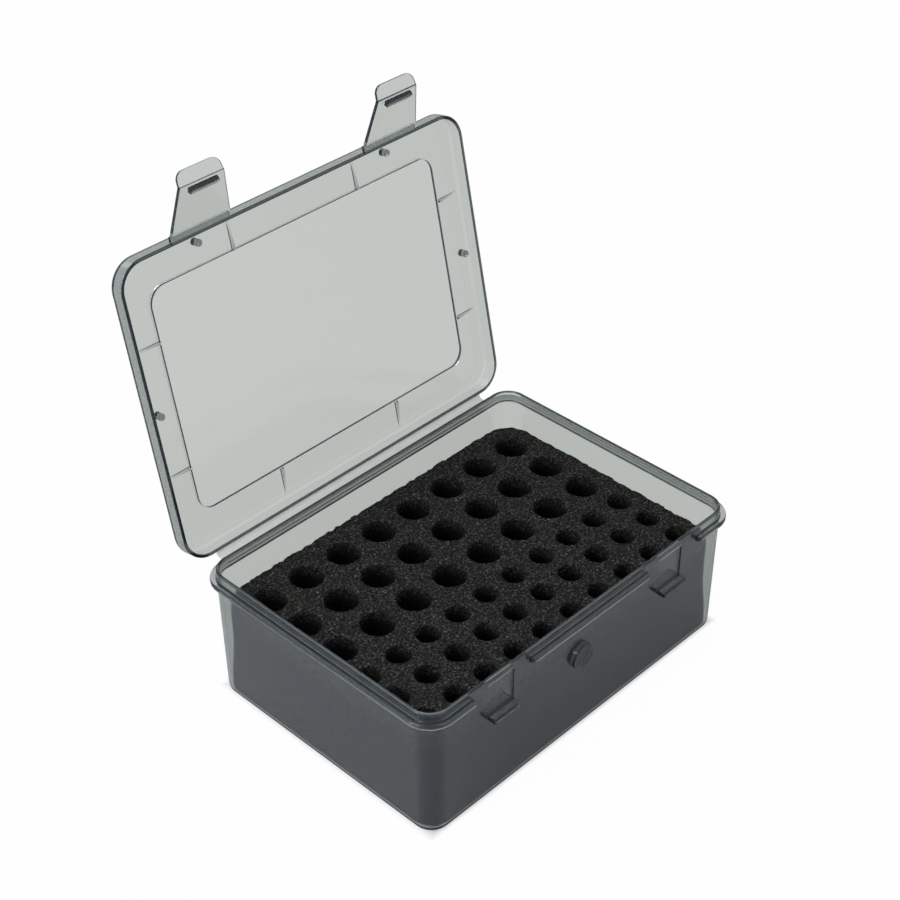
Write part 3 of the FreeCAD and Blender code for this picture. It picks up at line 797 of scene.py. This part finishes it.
def gusset_shell(x, y, degrees, reach):
    """Low rib, tallest at the field's step, that fades out towards the skirt."""
    foot = BORDER_Z + GUSSET_SUNK
    low = BORDER_Z - GUSSET_HEIGHT
    profile = ((-0.02, foot), (-0.02, low + 0.2), (0.2, low), (reach, BORDER_Z), (reach, foot))
    c = math.cos(math.radians(degrees))
    s = math.sin(math.radians(degrees))
    points = []
    for side in (-GUSSET_THICK / 2, GUSSET_THICK / 2):
        points += [(x + along * c - side * s, y + along * s + side * c, z) for along, z in profile]
    count = len(profile)
    faces = [list(range(count)), [count + i for i in range(count)][::-1]]
    faces += [[i, count + i, count + (i + 1) % count, (i + 1) % count] for i in range(count)]
    return np.array(points), faces


def peg_shell(x, y):
    """Short round peg with a rounded end, turned about its own axis."""
    turn = np.linspace(0.0, 2 * math.pi, 29)[:-1]
    end = BORDER_Z - PEG_HEIGHT
    profile = [(0.0, end), (0.6, end)]
    profile += arc(PEG_R - PEG_END_R, end + PEG_END_R, PEG_END_R, -90, 0, 4).tolist()
    profile += [(PEG_R, BORDER_Z - 0.3), (PEG_R + 0.08, BORDER_Z - 0.08), (PEG_R + 0.3, BORDER_Z + 0.02),
                (PEG_R, BORDER_Z + PEG_SUNK), (0.0, BORDER_Z + PEG_SUNK)]
    radius, height = np.array(profile).T[..., None]
    points = np.stack([x + radius * np.cos(turn), y + radius * np.sin(turn), height + 0 * turn], -1)
    return grid_shell(points)


def latch_pad_shell(x_middle):
    """Ledge on the lid's front rim that a latch hangs from."""
    y_low = LATCH_AXIS[0] + LATCH_WEB_REACH
    y_high = -(CORE[1] + FLANGE_OUT - LID_WALL / 2)
    outline = softened([(y_low, PAD_LOW), (y_high, PAD_LOW), (y_high, PAD_HIGH), (y_low, PAD_HIGH)], PAD_EDGE)
    half = LATCH_HALF_WIDTHS[0]
    return bar_shell(outline, x_middle - half, x_middle + half, PAD_EDGE)


def latch_plate_shell(x_middle):
    """Bent plate of a closed latch: a rounded cross-section carried down it. Its line turns
    outwards smoothly at the bend, and its width falls to the tip, whose corners are circles."""
    length = LATCH_RUN + LATCH_TIP
    tail = length - LATCH_CORNER_R * (1 - np.sin(np.radians(np.linspace(0.0, 90.0, 13))))
    along = np.concatenate([np.linspace(0.0, 2.0, 9), np.arange(3.0, LATCH_RUN - 1.5, 1.5),
                            np.linspace(LATCH_RUN - 0.6, LATCH_RUN + 0.6, 13), tail])
    angle = math.radians(LATCH_TIP_DEG) * ramp((along - LATCH_RUN + LATCH_BEND / 2) / LATCH_BEND)
    middle = (angle[1:] + angle[:-1]) / 2
    step = np.diff(along)
    y = LATCH_INNER_Y - np.concatenate([[0.0], np.cumsum(np.sin(middle) * step)])
    z = LATCH_AXIS[1] - LATCH_WEB_REACH - np.concatenate([[0.0], np.cumsum(np.cos(middle) * step)])
    half = np.interp(along, (0.0, LATCH_RUN, length), LATCH_HALF_WIDTHS)
    past = np.clip(along - (length - LATCH_CORNER_R), 0.0, LATCH_CORNER_R)
    half = half - LATCH_CORNER_R + np.sqrt(LATCH_CORNER_R ** 2 - past ** 2)
    turn = np.radians(np.concatenate([np.linspace(90 * i, 90 * i + 90, 5) for i in range(4)]))
    side = np.repeat((1.0, -1.0, -1.0, 1.0), 5)
    up = np.repeat((1.0, 1.0, -1.0, -1.0), 5)
    across = side * (half[:, None] - LATCH_EDGE_R) + LATCH_EDGE_R * np.cos(turn)
    deep = LATCH_THICK / 2 + (LATCH_THICK / 2 - LATCH_EDGE_R) * up + LATCH_EDGE_R * np.sin(turn)
    deep = np.broadcast_to(deep, across.shape)
    points = np.stack([x_middle + across, y[:, None] - np.cos(angle)[:, None] * deep,
                       z[:, None] + np.sin(angle)[:, None] * deep], -1)
    return grid_shell(np.concatenate([pole(points[0]), points, pole(points[-1])]))


def catch_shell(x_middle):
    """Bar across the inside of a latch, with a sloping lower edge that rides over the lug."""
    back = LATCH_INNER_Y - LATCH_THICK / 2
    nose = LATCH_INNER_Y + CATCH_PROUD
    low = CATCH_TOP - CATCH_THICK
    outline = softened([(back, CATCH_TOP), (back, low), (nose - CATCH_LEAD, low), (nose, low + CATCH_LEAD),
                        (nose, CATCH_TOP)], CATCH_EDGE)
    return bar_shell(outline, x_middle - CATCH_HALF, x_middle + CATCH_HALF, CATCH_EDGE / 2)


def web_shell(start, corner, end, columns, x_middle, half, placing=None):
    """Thin strip along X that bends from start to end: each of its two faces is the square-weighted
    mean of its own start, corner and end."""
    t = np.linspace(0.0, 1.0, 13)[:, None]
    faces = [(1 - t) ** 2 * start[i] + 2 * t * (1 - t) * corner[i] + t ** 2 * end[i] for i in (0, 1)]
    outline = np.concatenate([faces[0], faces[1][::-1]])
    places = (x_middle + half * np.linspace(-1.0, 1.0, columns))[:, None, None]
    rows = np.concatenate([places + 0 * outline[:, :1], outline + 0 * places], -1)
    points, quads = grid_shell(placing(rows) if placing else rows)
    count = len(outline)
    for base in (0, len(points) - count):
        for i in range(len(t) - 1):
            quads.append([base + i, base + i + 1, base + count - 2 - i, base + count - 1 - i])
    return points, quads


def foam_outline(places, inset, corner_r=FOAM_CORNER_R):
    """The foam's rounded outline, less an inset, at the point of it nearest to each place."""
    core = FOAM_HALF - corner_r
    near = np.clip(places, -core, core)
    outward = places - near
    outward /= np.linalg.norm(outward, axis=-1, keepdims=True)
    return near + (corner_r - inset) * outward


def kept_inside(places):
    """Places pulled in to a little inside the foam's outline, where they lie beyond that."""
    core = FOAM_HALF - FOAM_CORNER_R
    near = np.clip(places, -core, core)
    away = places - near
    distance = np.linalg.norm(away, axis=-1, keepdims=True)
    limit = FOAM_CORNER_R - FOAM_PATCH_INSET
    return near + away * np.minimum(1.0, limit / np.maximum(distance, 1e-9))


def square_ring(centre, half, steps):
    """Points round a rectangle, anticlockwise from its lower right corner, steps to each side."""
    t = np.linspace(-1.0, 1.0, steps + 1)[:-1]
    one = np.ones(steps)
    x = np.concatenate([one, -t, -one, t])
    y = np.concatenate([t, one, -t, -one])
    return centre + np.stack([x, y], -1) * half


def at_height(flat, z):
    """Places in the plane, as points at one height."""
    return np.column_stack([flat, np.full(len(flat), z)])


def hole_shell(centre, group, hole_round):
    """One hole and the foam round it, top and bottom: from the rectangle's edge underneath in to
    the hole, up its wall, over its worn edge and out to the rectangle's edge on top."""
    half = np.array(group["pitch"]) / 2
    edge = kept_inside(square_ring(centre, half, group["steps"]))
    towards = (edge - centre) / np.linalg.norm(edge - centre, axis=1, keepdims=True)
    wall = centre + towards * group["radius"]
    rows = [(edge, FLOOR_Z)]
    rows += [(wall, z) for z in (FLOOR_Z, 14.0, 26.0, 34.0, 38.5, 41.5, 43.2, 44.3)]
    rows += [(wall, FOAM_TOP - hole_round * 1.2)]
    lip = centre + towards * (group["radius"] + hole_round)
    rows += [(wall * 0.72 + lip * 0.28, FOAM_TOP - hole_round * 0.3)]
    rows += [(lip * (1 - t) + edge * t, FOAM_TOP) for t in np.linspace(0.0, 1.0, 7)]
    return grid_shell(np.array([at_height(flat, z) for flat, z in rows]))


def foam_shells(hole_round):
    """The foam block: a patch for each hole, the strip between the two groups, and the rim from
    the patches' outer edge over the top, down the cut sides and in underneath."""
    shells = []
    for group in HOLE_GROUPS:
        pitch = group["pitch"]
        for row in range(HOLE_ROWS):
            for column in range(group["columns"]):
                x = (column - (group["columns"] - 1) / 2) * pitch[0]
                centre = np.array((x, group["back_y"] - row * pitch[1]))
                shells.append(hole_shell(centre, group, hole_round))
    edges = []
    for group in HOLE_GROUPS:
        half_x = group["columns"] * group["pitch"][0] / 2
        high = group["back_y"] + group["pitch"][1] / 2
        low = high - HOLE_ROWS * group["pitch"][1]
        edges.append((half_x, low, high, HOLE_ROWS * group["steps"]))
    (bx, b_low, b_high, b_deep), (fx, f_low, f_high, f_deep) = edges
    across = HOLE_GROUPS[0]["columns"] * HOLE_GROUPS[0]["steps"]
    for z, flip in ((FOAM_TOP, 1), (FLOOR_Z, -1)):
        ends = ((fx, f_high), (bx, b_low))
        strip = [at_height(np.linspace((-x, y), (x, y), across + 1), z) for x, y in ends]
        shells.append(grid_shell(np.array(strip[::flip]), closed=False))
    corners = ((fx, f_low), (fx, f_high), (bx, b_low), (bx, b_high),
               (-bx, b_high), (-bx, b_low), (-fx, f_high), (-fx, f_low))
    steps = (f_deep, 1, b_deep, across, b_deep, 1, f_deep, across)
    sides = zip(corners, corners[1:] + corners[:1], steps)
    loop = np.concatenate([np.linspace(start, end, count + 1)[:-1] for start, end, count in sides])
    loop = kept_inside(loop)
    rows = [(loop, FLOOR_Z), (foam_outline(loop, FOAM_FOOT, FOAM_FOOT_CORNER_R), FLOOR_Z),
            (foam_outline(loop, 0.0, FOAM_FOOT_CORNER_R), FLOOR_Z + FOAM_FOOT)]
    for z in (6.0, 11.0, 16.0, 21.0, 26.0, 31.0, 36.0, 39.5, 42.0, 43.5, 44.5, 45.2):
        corner_r = FOAM_FOOT_CORNER_R + (FOAM_CORNER_R - FOAM_FOOT_CORNER_R) * ramp((z - 3.0) / 26.0)
        rows.append((foam_outline(loop, 0.0, corner_r), z))
    top = foam_outline(loop, 0.3)
    rows += [(foam_outline(loop, 0.08), 45.7)]
    rows += [(top * (1 - t) + loop * t, FOAM_TOP) for t in (0.0, 0.33, 0.66, 1.0)]
    shells.append(grid_shell(np.array([at_height(flat, z) for flat, z in rows])))
    return shells


def torn(points, depth):
    """Points strayed by two layers of lattice noise in all three directions, less near the
    sides and the floor, where the case holds the foam. Round the top, the foam's edge is drawn
    in by two more layers, as a ragged cut leaves it."""
    flat = points[:, :2]
    core = FOAM_HALF - FOAM_CORNER_R
    outward = flat - np.clip(flat, -core, core)
    away = np.linalg.norm(outward, axis=1)
    room = 0.08 + 0.92 * ramp((FOAM_CORNER_R - away) / 2.0)
    room *= ramp((points[:, 2] - FLOOR_Z) / 4.0)
    strayed = np.empty_like(points)
    for axis in range(3):
        coarse = lattice_noise(points, 2.6, 11 + axis)
        fine = lattice_noise(points, 0.9, 31 + axis)
        strayed[:, axis] = (0.55 * coarse + 0.65 * fine) * depth * room
    outward /= np.maximum(away, 1e-6)[:, None]
    ragged = 0.5 + 0.5 * lattice_noise(points, 2.3, 51) + 0.6 * lattice_noise(points, 1.1, 53)
    ragged *= ramp((points[:, 2] - FOAM_TOP + 4.5) / 4.0) * ramp((away - FOAM_CORNER_R + 2.2) / 1.6)
    strayed[:, :2] -= outward * np.clip(ragged, 0.0, 1.4)[:, None] * FOAM_RAGGED
    return points + strayed


class CASE_OT_stage(bpy.types.Operator):
    """Camera, floor, soft lamps and white surroundings."""

    bl_idname = "case.stage"
    bl_label = "Stage"

    def execute(self, context):
        place_camera()
        studio_floor()
        studio_world()
        for lamp in LAMPS:
            soft_lamp(**lamp)
        context.scene.view_settings.view_transform = "Standard"
        return {"FINISHED"}


class CASE_OT_tub(bpy.types.Operator):
    """The tub with its lip, flange, lugs and boss, in place of the CAD base."""

    bl_idname = "case.tub"
    bl_label = "Tub"

    def execute(self, context):
        scene = context.scene
        plastic = shared_material("moulded_smoke", moulded_smoke, scene.case_finish)
        tub = make_piece("tub", [tub_shell(scene.case_sizes)], plastic)
        unite(tub, make_piece("boss", [boss_shell()], plastic))
        weigh_normals(tub)
        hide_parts("case_base")
        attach(tub, "base")
        return {"FINISHED"}


class CASE_OT_lid(bpy.types.Operator):
    """The lid with its ribs, pegs and latch ledges, made closed and turned open."""

    bl_idname = "case.lid"
    bl_label = "Lid"

    def execute(self, context):
        scene = context.scene
        plastic = shared_material("moulded_smoke", moulded_smoke, scene.case_finish)
        lid = make_piece("lid_moulding", [lid_shell(scene.case_sizes)], plastic)
        extras = [peg_shell(x, y) for x, y in PEG_PLACES]
        extras += [latch_pad_shell(-LATCH_X), latch_pad_shell(LATCH_X)]
        half_x, half_y = FIELD_CORE + FIELD_OUT
        for side in (-1, 1):
            turn = 0 if side > 0 else 180
            for place in (-GUSSET_SIDE_Y, GUSSET_SIDE_Y):
                extras.append(gusset_shell(side * half_x, place, turn, GUSSET_REACH_X))
            for place in (-GUSSET_FRONT_X, GUSSET_FRONT_X):
                extras.append(gusset_shell(place, side * half_y, 90 * side, GUSSET_REACH_Y))
        unite(lid, make_piece("lid_extras", extras, plastic))
        move_mesh(lid, opened)
        weigh_normals(lid)
        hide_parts("lid")
        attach(lid, "lid")
        return {"FINISHED"}


class CASE_OT_latches(bpy.types.Operator):
    """The two latches, each a bent plate with its catch, swung out on the open lid."""

    bl_idname = "case.latches"
    bl_label = "Latches"

    def execute(self, context):
        plastic = shared_material("moulded_smoke", moulded_smoke, context.scene.case_finish)
        for name, x in (("left", -LATCH_X), ("right", LATCH_X)):
            latch = make_piece("latch_plate_" + name, [latch_plate_shell(x)], plastic)
            unite(latch, make_piece("catch_" + name, [catch_shell(x)], plastic))
            swing = LATCH_SWING[name]
            move_mesh(latch, lambda points: opened(rotated(points, *LATCH_AXIS, -swing)))
            weigh_normals(latch)
            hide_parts("latch_" + name)
            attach(latch, "latch_" + name)
        return {"FINISHED"}


class CASE_OT_hinge_webs(bpy.types.Operator):
    """The thin webs, drawn in their bent shape: one along the lid's back, and one at each latch."""

    bl_idname = "case.hinge_webs"
    bl_label = "Hinge webs"

    def execute(self, context):
        milky = shared_material("bent_web", bent_web)
        half = WEB_THICK / 2
        base_z = (FLANGE_BOTTOM + FLANGE_TOP) / 2
        flange_y = CORE[1] + FLANGE_OUT
        start = np.array([(flange_y - WEB_BITE, base_z - half), (flange_y - WEB_BITE, base_z + half)])
        lid_y = flange_y + WEB_END_GAP
        on_lid = np.array([(0.0, lid_y, RIM_Z + WEB_THICK), (0.0, lid_y, RIM_Z)])
        beyond = on_lid + (0.0, 1.0, 0.0)
        end = opened(on_lid)[:, 1:]
        towards = opened(beyond)[:, 1:]
        reach = (start[:, 1] - end[:, 1]) / (towards[:, 1] - end[:, 1])
        corner = np.column_stack([end[:, 0] + reach * (towards[:, 0] - end[:, 0]), start[:, 1]])
        shell = web_shell(start, corner, end, 40, 0.0, WEB_LENGTH / 2)
        web = make_piece("lid_web", [shell], milky)
        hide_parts("lid_hinge_web")
        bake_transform(web)
        y, z = LATCH_AXIS
        for name, x in (("left", -LATCH_X), ("right", LATCH_X)):
            fold = math.radians(90 - LATCH_SWING[name])
            near = y + LATCH_WEB_REACH + WEB_BITE
            far = LATCH_WEB_REACH + WEB_LATCH_BITE
            sides = np.array((half, -half))
            start = np.column_stack([np.full(2, near), z + sides])
            corner = np.column_stack([y - sides * math.tan(fold / 2), z + sides])
            end = np.column_stack([y - far * math.cos(fold) - sides * math.sin(fold),
                                   z - far * math.sin(fold) + sides * math.cos(fold)])
            half_width = LATCH_HALF_WIDTHS[0] - LATCH_EDGE_R
            shell = web_shell(start, corner, end, 12, x, half_width, opened)
            strip = make_piece("latch_web_" + name, [shell], milky)
            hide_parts("latch_hinge_" + name)
            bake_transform(strip)
        return {"FINISHED"}


class CASE_OT_foam(bpy.types.Operator):
    """The punched foam block with its rough cut, in place of the CAD one."""

    bl_idname = "case.foam"
    bl_label = "Foam"

    def execute(self, context):
        scene = context.scene
        sizes = scene.case_sizes
        soft = shared_material("cut_foam", cut_foam, scene.case_finish)
        foam = make_piece("foam_block", foam_shells(in_mm(sizes.hole_round)), soft, FOAM_SHARP)
        move_mesh(foam, lambda points: torn(points, in_mm(sizes.foam_tear)))
        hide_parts("foam_insert")
        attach(foam, "base")
        return {"FINISHED"}


class CASE_PT_pieces(bpy.types.Panel):
    """The case's sizes, finish and pieces."""

    bl_idname = "CASE_PT_pieces"
    bl_label = "Battery case"
    bl_space_type = "VIEW_3D"
    bl_region_type = "UI"
    bl_category = "Battery case"

    def draw(self, context):
        for group in (context.scene.case_sizes, context.scene.case_finish):
            for name in group.__annotations__:
                self.layout.prop(group, name)
        for operator in OPERATORS:
            self.layout.operator(operator.bl_idname)


OPERATORS = (CASE_OT_stage, CASE_OT_foam, CASE_OT_tub, CASE_OT_lid, CASE_OT_latches, CASE_OT_hinge_webs)
CLASSES = (CaseSizes, CaseFinish, *OPERATORS, CASE_PT_pieces)


def register():
    for cls in CLASSES:
        bpy.utils.register_class(cls)
    bpy.types.Scene.case_sizes = bpy.props.PointerProperty(type=CaseSizes)
    bpy.types.Scene.case_finish = bpy.props.PointerProperty(type=CaseFinish)


def unregister():
    del bpy.types.Scene.case_finish
    del bpy.types.Scene.case_sizes
    for cls in reversed(CLASSES):
        bpy.utils.unregister_class(cls)


def main():
    register()
    bpy.ops.case.stage()
    bpy.ops.case.foam()
    bpy.ops.case.tub()
    bpy.ops.case.lid()
    bpy.ops.case.latches()
    bpy.ops.case.hinge_webs()


if __name__ == "__main__":
    main()
